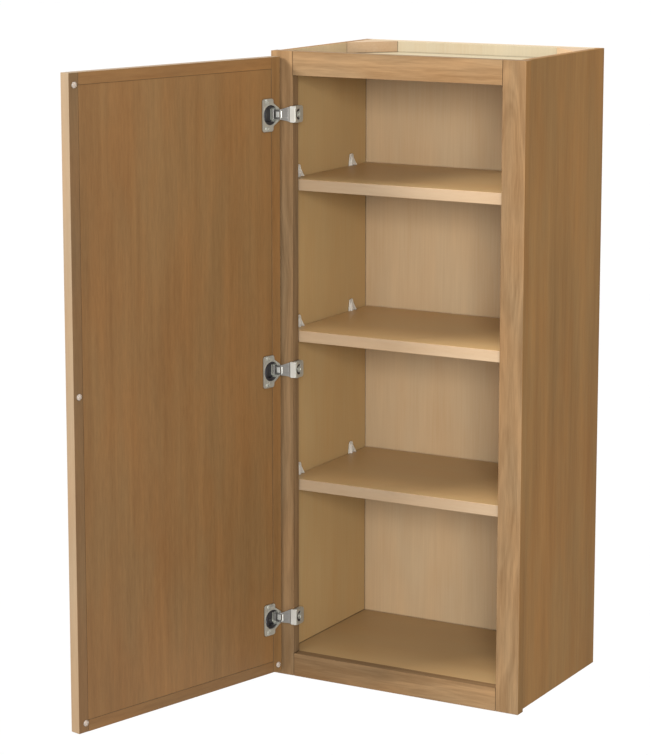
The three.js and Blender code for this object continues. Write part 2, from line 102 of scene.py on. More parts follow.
def add(tree, kind, inputs=None, **settings):
    """A node of that kind, its settings set and its inputs linked or given values."""
    node = tree.nodes.new(kind)
    for name, value in settings.items():
        setattr(node, name, value)
    for name, value in (inputs or {}).items():
        if isinstance(value, bpy.types.NodeSocket):
            tree.links.new(value, node.inputs[name])
        else:
            node.inputs[name].default_value = value
    return node


def maths(tree, operation, a, b):
    return add(tree, "ShaderNodeMath", {0: a, 1: b}, operation=operation).outputs[0]


def ramp(tree, factor, stops):
    """A colour ramp from (place, colour) stops."""
    node = add(tree, "ShaderNodeValToRGB", {"Fac": factor})
    elements = node.color_ramp.elements
    while len(elements) < len(stops):
        elements.new(0.5)
    for element, (place, colour) in zip(elements, stops):
        element.position = place
        element.color = (*colour, 1)
    return node.outputs["Color"]


def noise(tree, vector, across, along, detail, roughness):
    """Noise with so many lumps to a metre, across the grain (X and Y) and along it (Z)."""
    stretch = (across, across, along)
    scaled = add(tree, "ShaderNodeMapping", {"Vector": vector, "Scale": stretch})
    node = add(
        tree,
        "ShaderNodeTexNoise",
        {"Vector": scaled.outputs[0], "Scale": 1.0, "Detail": detail, "Roughness": roughness},
    )
    return node.outputs["Fac"]


def weigh(tree, *parts):
    """The sum of factor times weight over (factor, weight) parts."""
    total = 0.0
    for factor, weight in parts:
        node = add(tree, "ShaderNodeMath", {0: factor, 1: weight, 2: total}, operation="MULTIPLY_ADD")
        total = node.outputs[0]
    return total


def mix_colour(tree, factor, first, second, blend="MIX"):
    node = add(
        tree,
        "ShaderNodeMix",
        {0: factor, 6: first, 7: second},
        data_type="RGBA",
        blend_type=blend,
    )
    return node.outputs[2]


def vary_roughness(tree, shader, factor, least, reach):
    """A roughness that goes up from the least by the factor's share of the reach."""
    roughness = weigh(tree, (factor, reach), (1.0, least))
    tree.links.new(roughness, shader.inputs["Roughness"])


def raise_bumps(tree, shader, height, strength, depth):
    bump = add(tree, "ShaderNodeBump", {"Height": height, "Strength": strength, "Distance": depth})
    tree.links.new(bump.outputs["Normal"], shader.inputs["Normal"])


# ---- Finishes ----


SEED_STEP = (0.31, 0.13, 0.57)  # how far each seed moves a board through the noise, in metres


def closed_to_open(vector):
    """A direction on the closed door, as the open door at rest has it."""
    return Matrix.Rotation(-OPEN_ANGLE, 3, "Z") @ Vector(vector)


def grain_space(tree, node, grain):
    """Two spaces with the grain along Z: from the board's middle, and shifted by its seed."""
    low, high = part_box(node)
    middle = (low + high) / 2
    seed, _ = BOARDS[node]
    point = add(tree, "ShaderNodeTexCoord").outputs["Object"]
    if node.startswith("door"):
        point = add(
            tree, "ShaderNodeMapping", {"Vector": point, "Rotation": (0, 0, OPEN_ANGLE)}
        ).outputs[0]
        middle = Matrix.Rotation(OPEN_ANGLE, 3, "Z") @ middle
    turn = math.pi / 2 if grain == "x" else 0
    middle = Matrix.Rotation(turn, 3, "Y") @ middle
    centred = add(
        tree, "ShaderNodeMapping", {"Vector": point, "Rotation": (0, turn, 0), "Location": -middle}
    ).outputs[0]
    shift = [step * seed for step in SEED_STEP]
    shifted = add(tree, "ShaderNodeVectorMath", {0: centred, 1: shift}, operation="ADD").outputs[0]
    return centred, shifted


# A figure gives a tone from 0 to 1. It is handed both of the wood's spaces: one centred on the
# board, and one shifted by its seed.


def straight_figure(tree, centred, space):
    """Sliced veneer: broad patches, bands, streaks and short dark flecks along the grain."""
    patches = noise(tree, space, 8, 2.4, 2.0, 0.5)
    bands = noise(tree, space, 38, 1.6, 2.0, 0.6)
    streaks = noise(tree, space, 110, 6, 3.0, 0.6)
    flecks = noise(tree, space, 300, 34, 2.0, 0.7)
    return weigh(tree, (patches, 0.24), (bands, 0.26), (streaks, 0.26), (flecks, 0.24))


def broad_figure(tree, centred, space):
    """Thin side veneer: broad streaks that run the whole height, with some short flecks."""
    patches = noise(tree, space, 11, 1.6, 2.0, 0.5)
    bands = noise(tree, space, 44, 1.2, 2.0, 0.6)
    flecks = noise(tree, space, 170, 12, 3.0, 0.65)
    return weigh(tree, (patches, 0.42), (bands, 0.30), (flecks, 0.28))


def cloudy_figure(tree, centred, space):
    """Pale maple: soft clouds drawn out along the grain, with a very faint line in them."""
    clouds = noise(tree, space, 9, 3.2, 2.0, 0.55)
    wisps = noise(tree, space, 45, 4.5, 2.0, 0.6)
    lines = noise(tree, space, 300, 9, 2.0, 0.6)
    return weigh(tree, (clouds, 0.42), (wisps, 0.22), (lines, 0.36))


RING = 0.0055  # mean width of a growth ring, in metres
PITH = (0.011, 0.05)  # from the board's middle to the middle of the tree
TAPER = 0.07  # how fast the rings run out of the face along the board
WANDER = 9.0  # how many rings' width they wander by


def flat_sawn_figure(tree, centred, space):
    """A plain-sawn board: uneven growth rings that run out of its face, with fine pores."""
    wander = noise(tree, space, 9, 1.8, 3.0, 0.55)
    from_pith = add(
        tree,
        "ShaderNodeMapping",
        {"Vector": centred, "Scale": (1, 1, TAPER), "Location": (*PITH, 0)},
    ).outputs[0]
    radius = add(
        tree, "ShaderNodeVectorMath", {0: from_pith}, operation="LENGTH"
    ).outputs["Value"]
    growth = weigh(tree, (radius, 1 / RING), (wander, WANDER))
    rings = add(
        tree,
        "ShaderNodeTexNoise",
        {"W": growth, "Scale": 1.0, "Detail": 3.0, "Roughness": 0.6},
        noise_dimensions="1D",
    ).outputs["Fac"]
    streaks = noise(tree, space, 150, 6, 3.0, 0.6)
    pores = noise(tree, space, 420, 28, 2.0, 0.7)
    return weigh(tree, (rings, 0.34), (streaks, 0.36), (pores, 0.30))


WARM = (1.035, 0.985, 0.93)
COOL = (0.965, 1.015, 1.07)
DARK_AT, MIDDLE_AT, LIGHT_AT = 0.34, 0.50, 0.66  # the figure's tones, on a scale of 0 to 1
LIVELY = 5  # how fast the drift of hue grows with a wood's spread of tones


def stained(tree, spaces, tones, figure):
    """The colour and tone of a wood surface: its figure, and a slow drift from warm to cool."""
    tone = figure(tree, *spaces)
    middle, spread = tones
    stops = []
    for place, share in ((DARK_AT, 1 - spread), (MIDDLE_AT, 1.0), (LIGHT_AT, 1 + spread)):
        tint = WARM if share < 1 else (1, 1, 1)
        stops.append((place, [channel * share * hue for channel, hue in zip(middle, tint)]))
    colour = ramp(tree, tone, stops)
    drift = noise(tree, spaces[1], 16, 4, 2.0, 0.6)
    tint = ramp(tree, drift, [(0.35, WARM), (0.65, COOL)])
    lively = min(1.0, LIVELY * spread)
    return mix_colour(tree, lively, colour, tint, "MULTIPLY"), tone


def facing(tree, direction):
    """1 where the surface faces that way and 0 elsewhere, softened over the eased edges."""
    least, full = 0.5, 0.8
    normal = add(tree, "ShaderNodeTexCoord").outputs["Normal"]
    dot = add(
        tree, "ShaderNodeVectorMath", {0: normal, 1: direction}, operation="DOT_PRODUCT"
    ).outputs["Value"]
    node = add(
        tree,
        "ShaderNodeMapRange",
        {"Value": dot, "From Min": least, "From Max": full},
        interpolation_type="SMOOTHSTEP",
    )
    return node.outputs["Result"]


def higher(tree, height):
    """1 where the point lies above the height, and 0 below it."""
    point = add(tree, "ShaderNodeTexCoord").outputs["Object"]
    axes = add(tree, "ShaderNodeSeparateXYZ", {"Vector": point})
    return maths(tree, "GREATER_THAN", axes.outputs["Z"], height)


# A mask is a function of the node tree, which gives 1 where its part of the wood is.


def face_towards(direction):
    return lambda tree: facing(tree, direction)


def above(height):
    return lambda tree: higher(tree, height)


def both(first, second):
    return lambda tree: maths(tree, "MULTIPLY", first(tree), second(tree))


# Painted shade in joints and corners: how far it reaches, and how dark it gets.
PAINTED_SHADE_REACH = 2.5 * MM
PAINTED_SHADE_DEEPEST = 0.3  # the share of light left in the deepest joint


def painted_joint_shade(tree):
    """Painted shade: 1 in the open, falling towards its deepest share in joints and corners, by
    ambient occlusion.
    """
    ambient = add(tree, "ShaderNodeAmbientOcclusion", {"Distance": PAINTED_SHADE_REACH}, samples=8)
    closed, clear = 0.3, 0.95
    node = add(
        tree,
        "ShaderNodeMapRange",
        {
            "Value": ambient.outputs["AO"],
            "From Min": closed,
            "From Max": clear,
            "To Min": PAINTED_SHADE_DEEPEST,
            "To Max": 1.0,
        },
    )
    return node.outputs["Result"]


SATIN, DULL = 0.4, 0.5  # the roughness of a wood's middle tone
SEALED, MATT = 0.2, 0.02  # how strongly its finish mirrors the light
PORE_DEPTH = 0.5 * MM


def finish_wood(node, tones, figure, grain="z", gloss=DULL, others=(), shine=SEALED):
    """Finishes a CAD node as wood. Each of others is (mask, tones, figure) for part of it."""
    material, tree, shader = new_material(f"wood of {node}", Specular_IOR_Level=shine)
    spaces = grain_space(tree, node, grain)
    colour, tone = stained(tree, spaces, tones, figure)
    for mask, other_tones, other_figure in others:
        second, _ = stained(tree, spaces, other_tones, other_figure)
        colour = mix_colour(tree, mask(tree), colour, second)
    # How light each board comes out is partly its own tone and partly painted light and shade.
    _, tone_and_painted_light = BOARDS[node]
    # Painted shade in joints and corners, multiplied into the wood's colour.
    shade = maths(tree, "MULTIPLY", painted_joint_shade(tree), tone_and_painted_light)
    colour = mix_colour(tree, 1.0, colour, shade, "MULTIPLY")
    tree.links.new(colour, shader.inputs["Base Color"])
    vary_roughness(tree, shader, tone, gloss - 0.1, 0.2)
    raise_bumps(tree, shader, tone, 0.12, PORE_DEPTH)
    finish(node, material)


SHARP = math.radians(40)
WOOD_EASE, CLIP_EASE, METAL_EASE = 0.8 * MM, 0.4 * MM, 0.25 * MM


def ease_edges(piece, ease):
    """Rounds a piece's sharp edges, and keeps its flat faces flat to the light."""
    bevel = piece.modifiers.new("eased edges", "BEVEL")
    bevel.width = ease
    bevel.segments = 3
    bevel.limit_method = "ANGLE"
    bevel.angle_limit = SHARP
    normals = piece.modifiers.new("flat faces", "WEIGHTED_NORMAL")
    normals.weight = 100


def finish(node, material, ease=WOOD_EASE):
    """Gives a CAD node its material and eased edges."""
    piece = NODES[node]
    piece.data.materials.clear()
    piece.data.materials.append(material)
    weld = piece.modifiers.new("weld", "WELD")
    weld.merge_threshold = 0.01 * MM
    ease_edges(piece, ease)


DIMPLE_DEPTH = 0.1 * MM


def steel(name, colour, metallic):
    """Plated steel: mostly mirror, a little dull, finely dimpled by the press."""
    material, tree, shader = new_material(name, Base_Color=(*colour, 1), Metallic=metallic)
    space = add(tree, "ShaderNodeTexCoord").outputs["Object"]
    patches = noise(tree, space, 160, 160, 3.0, 0.6)
    dimples = noise(tree, space, 1100, 1100, 1.0, 0.5)
    vary_roughness(tree, shader, patches, 0.27, 0.22)
    raise_bumps(tree, shader, dimples, 0.15, DIMPLE_DEPTH)
    return material


def moulded(name, colour, roughness, **sockets):
    """Moulded plastic with a faint grain left by its mould."""
    material, tree, shader = new_material(name, Base_Color=(*colour, 1), **sockets)
    space = add(tree, "ShaderNodeTexCoord").outputs["Object"]
    grain = noise(tree, space, 900, 900, 2.0, 0.5)
    vary_roughness(tree, shader, grain, roughness - 0.07, 0.15)
    raise_bumps(tree, shader, grain, 0.12, DIMPLE_DEPTH)
    return material


# The seed of each piece's stretch of wood, and how light it comes out: partly its own tone from board
# to board, partly painted light and shade set to how brightly each piece was lit.
BOARDS = {
    "side_left": (21, 1.05),
    "side_right": (10, 1.0),
    "frame_stile_left": (24, 1.05),
    "frame_stile_right": (7, 0.94),
    "frame_rail_top": (23, 1.04),
    "frame_rail_bottom": (2, 1.02),
    "hanging_rail_top": (16, 1.0),
    "hanging_rail_bottom": (17, 1.0),
    "corner_block_left": (14, 1.05),
    "corner_block_right": (15, 1.05),
    "top_panel": (18, 1.27),
    "bottom_panel": (7, 0.90),
    "back_panel": (12, 1.0),
    "shelf_1": (10, 1.03),
    "shelf_2": (4, 1.19),
    "shelf_3": (19, 1.07),
    "door_panel": (8, 0.95),
    "door_stile_hinge": (5, 1.0),
    "door_stile_free": (1, 0.97),
    "door_rail_top": (3, 1.0),
    "door_rail_bottom": (6, 0.95),
}


def finish_sides(in_recess):
    """The sides, the face frame's stiles and the corner blocks."""
    for side, outward in (("left", -1), ("right", 1)):
        inner = face_towards((-outward, 0, 0))
        bare = both(inner, in_recess)
        faces = [(inner, INSIDE_MAPLE, cloudy_figure), (bare, PALE_MAPLE, cloudy_figure)]
        finish_wood(f"side_{side}", SIDE_OAK, broad_figure, others=faces, shine=MATT)
        edge = (face_towards((outward, 0, 0)), SIDE_OAK, broad_figure)
        finish_wood(f"frame_stile_{side}", FRAME_OAK, flat_sawn_figure, others=[edge], shine=MATT)
        finish_wood(f"corner_block_{side}", BLOCK_MAPLE, cloudy_figure, "x")


def finish_carcass():
    in_recess = above(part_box("top_panel")[1].z)
    finish_sides(in_recess)
    for end in ("top", "bottom"):
        finish_wood(f"frame_rail_{end}", FRAME_OAK, flat_sawn_figure, "x", shine=MATT)
        finish_wood(f"hanging_rail_{end}", PALE_MAPLE, cloudy_figure, "x")
    raw_top = (face_towards((0, 0, 1)), BIRCH, cloudy_figure)
    finish_wood("top_panel", MAPLE, cloudy_figure, "x", others=[raw_top])
    raw_under = (face_towards((0, 0, -1)), BIRCH, cloudy_figure)
    finish_wood("bottom_panel", SHELF_MAPLE, cloudy_figure, "x", SATIN, [raw_under])
    raw_back = (in_recess, BIRCH, cloudy_figure)
    finish_wood("back_panel", MAPLE, cloudy_figure, others=[raw_back])
    band = (face_towards((0, -1, 0)), BAND_MAPLE, straight_figure)
    for i in (1, 2, 3):
        finish_wood(f"shelf_{i}", SHELF_MAPLE, cloudy_figure, "x", SATIN, [band])


def finish_door():
    """The door: its edges are one tone, its front another, and its back follows the panel."""
    front = (face_towards(closed_to_open((0, -1, 0))), FRAME_OAK, flat_sawn_figure)
    back = face_towards(closed_to_open((0, 1, 0)))
    finish_wood("door_panel", OAK, straight_figure)
    for side, tones in (("hinge", OAK), ("free", STILE_OAK)):
        faces = [front, (back, tones, straight_figure)]
        finish_wood(f"door_stile_{side}", EDGE_OAK, straight_figure, others=faces)
    for end in ("top", "bottom"):
        faces = [front, (back, OAK, straight_figure)]
        finish_wood(f"door_rail_{end}", EDGE_OAK, straight_figure, "x", others=faces)


def finish_clips():
    plastic = moulded("clear plastic", (0.80, 0.76, 0.68), 0.3, Transmission_Weight=0.5, IOR=1.46)
    for node in NODES:
        if node.startswith("shelf_clip"):
            finish(node, plastic, CLIP_EASE)


# ---- Making closed bodies, in millimetres ----

ROUND = 48  # sides of a turned piece


def rounded(corners, steps=6):
    """A closed outline from (x, y, radius) corners, each turned as an arc of its radius."""
    points = []
    for i, (x, y, radius) in enumerate(corners):
        corner = Vector((x, y))
        before = (Vector(corners[i - 1][:2]) - corner).normalized()
        after = (Vector(corners[(i + 1) % len(corners)][:2]) - corner).normalized()
        if not radius:
            points.append(corner)
            continue
        half = before.angle(after) / 2
        centre = corner + (before + after).normalized() * radius / math.sin(half)
        start = corner + before * radius / math.tan(half) - centre
        sweep = math.copysign(math.pi - 2 * half, after.cross(before))
        for step in range(steps + 1):
            turn = sweep * step / steps
            points.append(centre + Matrix.Rotation(turn, 2) @ start)
    return points


def prism(outline, low, high):
    """An outline in X and Y, from one height to another."""
    body = bmesh.new()
    foot = [body.verts.new((*point, low)) for point in outline]
    top = [body.verts.new((*point, high)) for point in outline]
    body.faces.new(foot[::-1])
    body.faces.new(top)
    for i in range(len(outline)):
        j = (i + 1) % len(outline)
        body.faces.new((foot[i], foot[j], top[j], top[i]))
    bmesh.ops.recalc_face_normals(body, faces=body.faces)
    return body


def block(x, y, z):
    """A square body between (low, high) on each axis."""
    return prism([(x[0], y[0]), (x[1], y[0]), (x[1], y[1]), (x[0], y[1])], *z)


def turned(profile, place=(0, 0)):
    """A body turned about an upright axis from (radius, height) points, both ends on the axis."""
    body = bmesh.new()
    centre = Vector((*place, 0))
    rings = []
    for radius, height in profile:
        sides = ROUND if radius else 1
        ring = []
        for i in range(sides):
            turn = math.tau * i / sides
            spot = Vector((radius * math.cos(turn), radius * math.sin(turn), height))
            ring.append(body.verts.new(centre + spot))
        rings.append(ring)
    for low, high in zip(rings, rings[1:]):
        for i in range(ROUND):
            j = (i + 1) % ROUND
            corners = [low[i % len(low)], low[j % len(low)], high[j % len(high)], high[i % len(high)]]
            body.faces.new(list(dict.fromkeys(corners)))
    bmesh.ops.recalc_face_normals(body, faces=body.faces)
    return body


def rod(radius, low, high, place=(0, 0)):
    return turned([(0, low), (radius, low), (radius, high), (0, high)], place)


def turn_over(body, angle, axis):
    """The body turned about an axis through its origin, in degrees."""
    bmesh.ops.rotate(body, verts=body.verts, matrix=Matrix.Rotation(math.radians(angle), 3, axis))
    return body


def as_object(body, name="body"):
    mesh = bpy.data.meshes.new(name)
    body.to_mesh(mesh)
    body.free()
    thing = bpy.data.objects.new(name, mesh)
    bpy.context.scene.collection.objects.link(thing)
    return thing


def combine(body, others, operation):
    """The body joined with others, cut by them, or kept where it meets them, and cleaned."""
    thing = as_object(body)
    tools = [as_object(other) for other in others]
    for tool in tools:
        step = thing.modifiers.new("combine", "BOOLEAN")
        step.object = tool
        step.operation = operation
        step.solver = "EXACT"
    shape = thing.evaluated_get(bpy.context.evaluated_depsgraph_get()).to_mesh()
    result = bmesh.new()
    result.from_mesh(shape)
    bmesh.ops.remove_doubles(result, verts=result.verts, dist=0.001)
    bmesh.ops.dissolve_degenerate(result, dist=0.0001, edges=result.edges)
    for spent in (thing, *tools):
        bpy.data.objects.remove(spent)
    return result


def join(body, *others):
    return combine(body, others, "UNION")


def cut(body, *others):
    return combine(body, others, "DIFFERENCE")


def meet(body, *others):
    return combine(body, others, "INTERSECT")


def make_piece(name, body, place, material, rides, stands_for=()):
    """A piece of the object: its shape put in place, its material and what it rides."""
    piece = as_object(body, name)
    piece.data.transform(place)
    piece.data.materials.append(material)
    piece.data.shade_smooth()
    ease_edges(piece, METAL_EASE)
    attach(piece, rides)
    if stands_for:
        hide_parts(*stands_for)


# ---- Hinges, in millimetres ----

# Door pieces are made in a space of their own: x across the door from its hinge edge, z out
# of its back. Cabinet pieces: x from the face frame's outer edge, y back from its front.

PIVOT_IN_DOOR = (7, 8.5)  # across the door and deep in it
CUP_AT = 22.5
CUP_RADIUS = 16.7
CUP_DEEP = 10.7
SHEET = 0.8
POCKET = (3.5, 8.2)  # the knuckle's pocket: its near end and half its width
FLANGE_LOW = 0.3
FLANGE_TOP = 1.3
FLANGE_EAR = (16, 41, 27)  # an ear's near and far sides, and its tip
FLANGE_NECK = (2.2, 10)  # its near edge, and half its width there
CUP_SCREW_AT = (31, 22.5)
CUP_SCREW_LONG = 10.2
SHANK = 1.7  # radius of every screw's shank
BASE_THICK = 6
BASE_LONG = 24
BASE_HALF = 14
BASE_SCREW_AT = 10
BASE_SCREW_SEAT = 3.5  # how high in the base the screw's head sits
BASE_SCREW_LONG = 19
CAM = (5.2, 9.0)  # inner and outer radius of the adjusting cam
CAM_OPENING = math.radians(62)  # half the angle of the gap in the cam's ring
CAM_DEEP = 4.7
STILE_EDGE = 41.3  # the stile's inner edge, with the base's seat on it
ARM_LEVEL = -12.15  # the arm's middle line in the cup
ARM_FRONT = -1.15  # and in front of the stile
ARM_THICK = 1.5
ARM_START = PIVOT_IN_DOOR[0] + 4
ARM_BEND = (25, 33.5)  # where it leaves the one level, and reaches the other
ARM_WIDE = 38.5  # where it has widened in full
ARM_END = 46.5
NECK = 7.5  # half the arm's width at the cup
ARM_HALF = 13.5  # and at its end
RIVET = (1.3, 9.3)  # radius and half length of the pin that the door turns on
LINK_PIN = (1.5, 5.6)  # and of the pin across the arm, in the brighter nickel as a painted highlight
LINK_PIN_AT = (26.4, -12.0)
PIN_CHAMFER = 0.5
CLEAR = 20  # longer than any hinge piece is thick


def door_space(height):
    """From the closed door's hinge space to the open door, at a hinge's height."""
    across, deep = PIVOT_IN_DOOR
    pivot = Matrix.Translation((PIVOT.x, PIVOT.y, height))
    swing = Matrix.Rotation(-OPEN_ANGLE, 4, "Z")
    corner = Matrix.Translation((-across * MM, deep * MM, 0))
    lay = Matrix.Rotation(math.radians(-90), 4, "X")
    return pivot @ swing @ corner @ lay @ Matrix.Scale(MM, 4)


def cabinet_space(height):
    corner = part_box("frame_stile_left")[0]
    return Matrix.Translation((corner.x, corner.y, height)) @ Matrix.Scale(MM, 4)


def mirrored(points):
    """An outline from its lower half, (x, y, corner radius) from near to far, and its mirror."""
    return rounded([*points, *((x, -y, radius) for x, y, radius in points[::-1])])


def cup_outline(grow=0.0):
    """The bowl's rim with the knuckle's pocket, as one outline."""
    near, half = POCKET[0] - grow, POCKET[1] + grow
    radius = CUP_RADIUS + grow
    start = math.pi - math.asin(half / radius)
    arc = [start - 2 * start * i / ROUND for i in range(ROUND + 1)]
    points = [(CUP_AT + radius * math.cos(turn), radius * math.sin(turn)) for turn in arc]
    return points + [(near, -half), (near, half)]


def hinge_cup():
    """The pressed cup: a flange with ears, a rolled rim, the bowl and the knuckle's pocket."""
    near, far, tip = FLANGE_EAR
    neck, neck_half = FLANGE_NECK
    flange = mirrored(
        [(neck, -neck_half, 2), (near, 8 - tip, 2), (near, -tip, 4), (far, -tip, 4)]
    )
    plate = prism(flange, FLANGE_LOW, FLANGE_TOP)
    rim = prism(cup_outline(2.0), FLANGE_LOW + 0.05, FLANGE_TOP + 0.2)
    rim = meet(rim, prism(flange, 0, CLEAR))
    bowl = prism(cup_outline(SHEET), -CUP_DEEP - SHEET, FLANGE_TOP)
    across, up = CUP_SCREW_AT
    spots = [(across, side * up) for side in (-1, 1)]
    collars = [rod(4.6, FLANGE_LOW + 0.2, FLANGE_TOP + 0.35, spot) for spot in spots]
    holes = [rod(3.7, FLANGE_TOP - 0.3, CLEAR, spot) for spot in spots]
    shell = join(plate, rim, bowl, *collars)
    return cut(shell, prism(cup_outline(), -CUP_DEEP, CLEAR), *holes)


def hinge_damper():
    """The dark soft-close unit round the bowl, clear of the arm's way in and out. Its ring and floor
    cover the whole bowl in a dark moulding: partly the real damper, partly painted shade for the
    cup's shaded hollow.
    """
    radius, low, high = CUP_RADIUS - 0.2, 0.05 - CUP_DEEP, -0.4
    way_half, floor_thick, piston_radius = 11.6, 0.45, 3.4
    # The ring and floor darken the bowl's sides and bottom: painted shade, beyond the damper's
    # piston.
    ring = rod(radius, low, high, (CUP_AT, 0))
    way = block((0, CUP_AT + 7.8), (-way_half, way_half), (low - 1, CLEAR))
    knuckle = block((0, 12), (-9, 9), (-CLEAR, CLEAR))
    floor = cut(rod(radius, low, low + floor_thick, (CUP_AT, 0)), knuckle)
    piston = turn_over(rod(piston_radius, -10, 10), 90, "X")
    bmesh.ops.translate(piston, verts=piston.verts, vec=(CUP_AT + 11.9, 0, high - 1.6))
    across = (CUP_AT + 8.9, CUP_AT + 15.5)
    slits = [block(across, (y - 0.4, y + 0.4), (high - 1.2, CLEAR)) for y in (-12.4, 12.4)]
    return cut(join(cut(ring, way), floor, piston), *slits)


def screw(length):
    """A pan-head screw on the axis: head on z = 0, cross-recessed, with a plain shank."""
    head, high = 3.5, 1.1
    point, taper = 0.5, 2.5
    turns = [math.pi / 2 * i / 6 for i in range(6)]
    crown = [(head * math.cos(turn), high * (0.35 + 0.65 * math.sin(turn))) for turn in turns]
    profile = [(0, -length), (point, -length), (SHANK, taper - length), (SHANK, 0), (head, 0)]
    body = turned([*profile, *crown, (0, high)])
    wide, long, deep = 0.55, 2.1, high - 0.75
    return cut(
        body,
        block((-wide, wide), (-long, long), (deep, CLEAR)),
        block((-long, long), (-wide, wide), (deep, CLEAR)),
    )


def pin(radius, half, place=(0, 0)):
    """A pin with chamfered ends, centred on its height."""
    thin, shoulder = radius - PIN_CHAMFER, half - PIN_CHAMFER
    profile = [(0, -half), (thin, -half), (radius, -shoulder), (radius, shoulder), (thin, half)]
    return turned([*profile, (0, half)], place)


def arm_strip(thick, lift=0.0):
    """The arm's path seen from above, as a band of that thickness, lifted off its middle line."""
    start_of_bend, end_of_bend = ARM_BEND
    line = [
        (ARM_START, ARM_LEVEL),
        (start_of_bend, ARM_LEVEL),
        (end_of_bend, ARM_FRONT),
        (ARM_END, ARM_FRONT),
    ]
    lean = math.tan(math.atan2(ARM_FRONT - ARM_LEVEL, end_of_bend - start_of_bend) / 2)
    leans, radii = (0, -lean, -lean, 0), (0, 2, 2, 0)
    sides = []
    for offset in (-thick / 2 - lift, thick / 2 - lift):
        corners = zip(line, leans, radii)
        sides.append([(x + offset * way, y + offset, radius) for (x, y), way, radius in corners])
    fore, aft = sides
    return rounded([*fore, *aft[::-1]])


def slice_of(near, far):
    """A block that holds all of a hinge between two distances across the front."""
    return block((near, far), (-CLEAR, CLEAR), (-CLEAR, CLEAR))


def hinge_arm():
    """The arm: two edge ribs, a window, a waist that widens to the end, and a knuckle."""
    waist, rib_at, rib_half = ARM_BEND[0] - 2, 5.6, 0.8
    plan = mirrored(
        [
            (ARM_START - 2, -NECK, 0),
            (waist, -NECK, 6),
            (ARM_WIDE, -ARM_HALF, 4),
            (ARM_END, -ARM_HALF, 2),
        ]
    )
    outline = turn_over(prism(plan, -3, CLEAR), 90, "X")
    strip = prism(arm_strip(ARM_THICK), -ARM_HALF, ARM_HALF)
    rib = arm_strip(1.0, 0.8)
    rib_end = ARM_BEND[1] + 0.5
    ribs = [prism(rib, side * rib_at - rib_half, side * rib_at + rib_half) for side in (-1, 1)]
    bar = meet(join(strip, *(meet(rib, slice_of(0, rib_end)) for rib in ribs)), outline)
    pivot = (ARM_START, -3.5 - PIVOT_IN_DOOR[1])
    barrel = rod(2.1, -NECK, NECK, pivot)
    opening = mirrored([(ARM_BEND[0] - 2.5, -4.6, 1), (ARM_BEND[0] + 2.5, -4.6, 1)])
    window = turn_over(prism(opening, -3, CLEAR), 90, "X")
    return cut(join(bar, barrel), rod(1.45, -CLEAR, CLEAR, pivot), window)


def arm_and_end():
    """The arm up to its level end, and that end, which gets the brighter nickel as a painted
    highlight.
    """
    end = (ARM_WIDE - 2, ARM_END + 1)
    return cut(hinge_arm(), slice_of(*end)), meet(hinge_arm(), slice_of(*end))


def painted_highlight_clip():
    """A bright plate across the arm, where it leaves the cup: a painted highlight."""
    near, far, half = ARM_BEND[0] - 8, ARM_BEND[0] - 1.5, 4.6
    front = ARM_LEVEL - ARM_THICK / 2
    return block((near, far), (front - 0.6, front + 0.1), (-half, half))


def cam_ring(top, gap=0.0):
    """A C round the base's screw, open away from the arm, and grown by the gap."""
    inner, outer = CAM
    opening = CAM_OPENING - gap / inner
    arc = [opening + (2 * math.pi - 2 * opening) * i / ROUND for i in range(ROUND + 1)]
    paths = [(outer + gap, arc), (inner - gap, arc[::-1])]
    outline = [
        (BASE_SCREW_AT + radius * math.cos(turn), radius * math.sin(turn))
        for radius, turns in paths
        for turn in turns
    ]
    return prism(outline, BASE_THICK - CAM_DEEP - gap, top)


def hinge_base():
    """The base on the stile's inner edge: a screw recess inside the adjusting cam's slot."""
    face = mirrored([(-0.2, -BASE_HALF, 2), (BASE_LONG, -BASE_HALF, 5)])
    body = prism(face, 0, BASE_THICK)
    at = (BASE_SCREW_AT, 0)
    recess = rod(4.3, BASE_SCREW_SEAT - 0.1, CLEAR, at)
    hole = rod(SHANK + 0.2, -CLEAR, CLEAR, at)
    return cut(body, recess, hole, cam_ring(CLEAR, 0.1))


def hinge_metals():
    return {
        "steel": steel("nickel plated steel", (0.43, 0.43, 0.38), 0.7),
        # A brighter copy of the plating: a painted highlight on the arm's end, the link pin and the
        # clip.
        "bright": steel("nickel with painted highlight", (0.62, 0.61, 0.56), 0.7),
        # A darker copy of the plating for the arm: painted shade, where the arm lies shaded by the
        # door.
        "zinc_in_painted_shade": steel("nickel plated zinc", (0.20, 0.19, 0.175), 0.8),
        # Dark moulding: the damper's own colour, and painted shade where it lines the bowl and fills
        # the base's slot.
        "dark": moulded("dark plastic as painted shade", (0.012, 0.011, 0.013), 0.35),
    }


def door_half(height):
    """The pieces of a hinge that swing with the door, as for put_pieces."""
    door = door_space(height)
    pivot = Matrix.Translation((PIVOT.x, PIVOT.y, height)) @ Matrix.Scale(MM, 4)
    pieces = [
        ("pressed_cup", hinge_cup(), door, "steel", "cup"),
        ("damper", hinge_damper(), door, "dark", None),
        ("rivet", pin(*RIVET), pivot, "steel", "pin"),
    ]
    across, up = CUP_SCREW_AT
    for end, side in (("upper", -1), ("lower", 1)):
        seat = door @ Matrix.Translation((across, side * up, FLANGE_TOP - 0.2))
        fixing = screw(CUP_SCREW_LONG)
        pieces.append((f"cup_fixing_{end}", fixing, seat, "steel", f"cup_screw_{end}"))
    return pieces


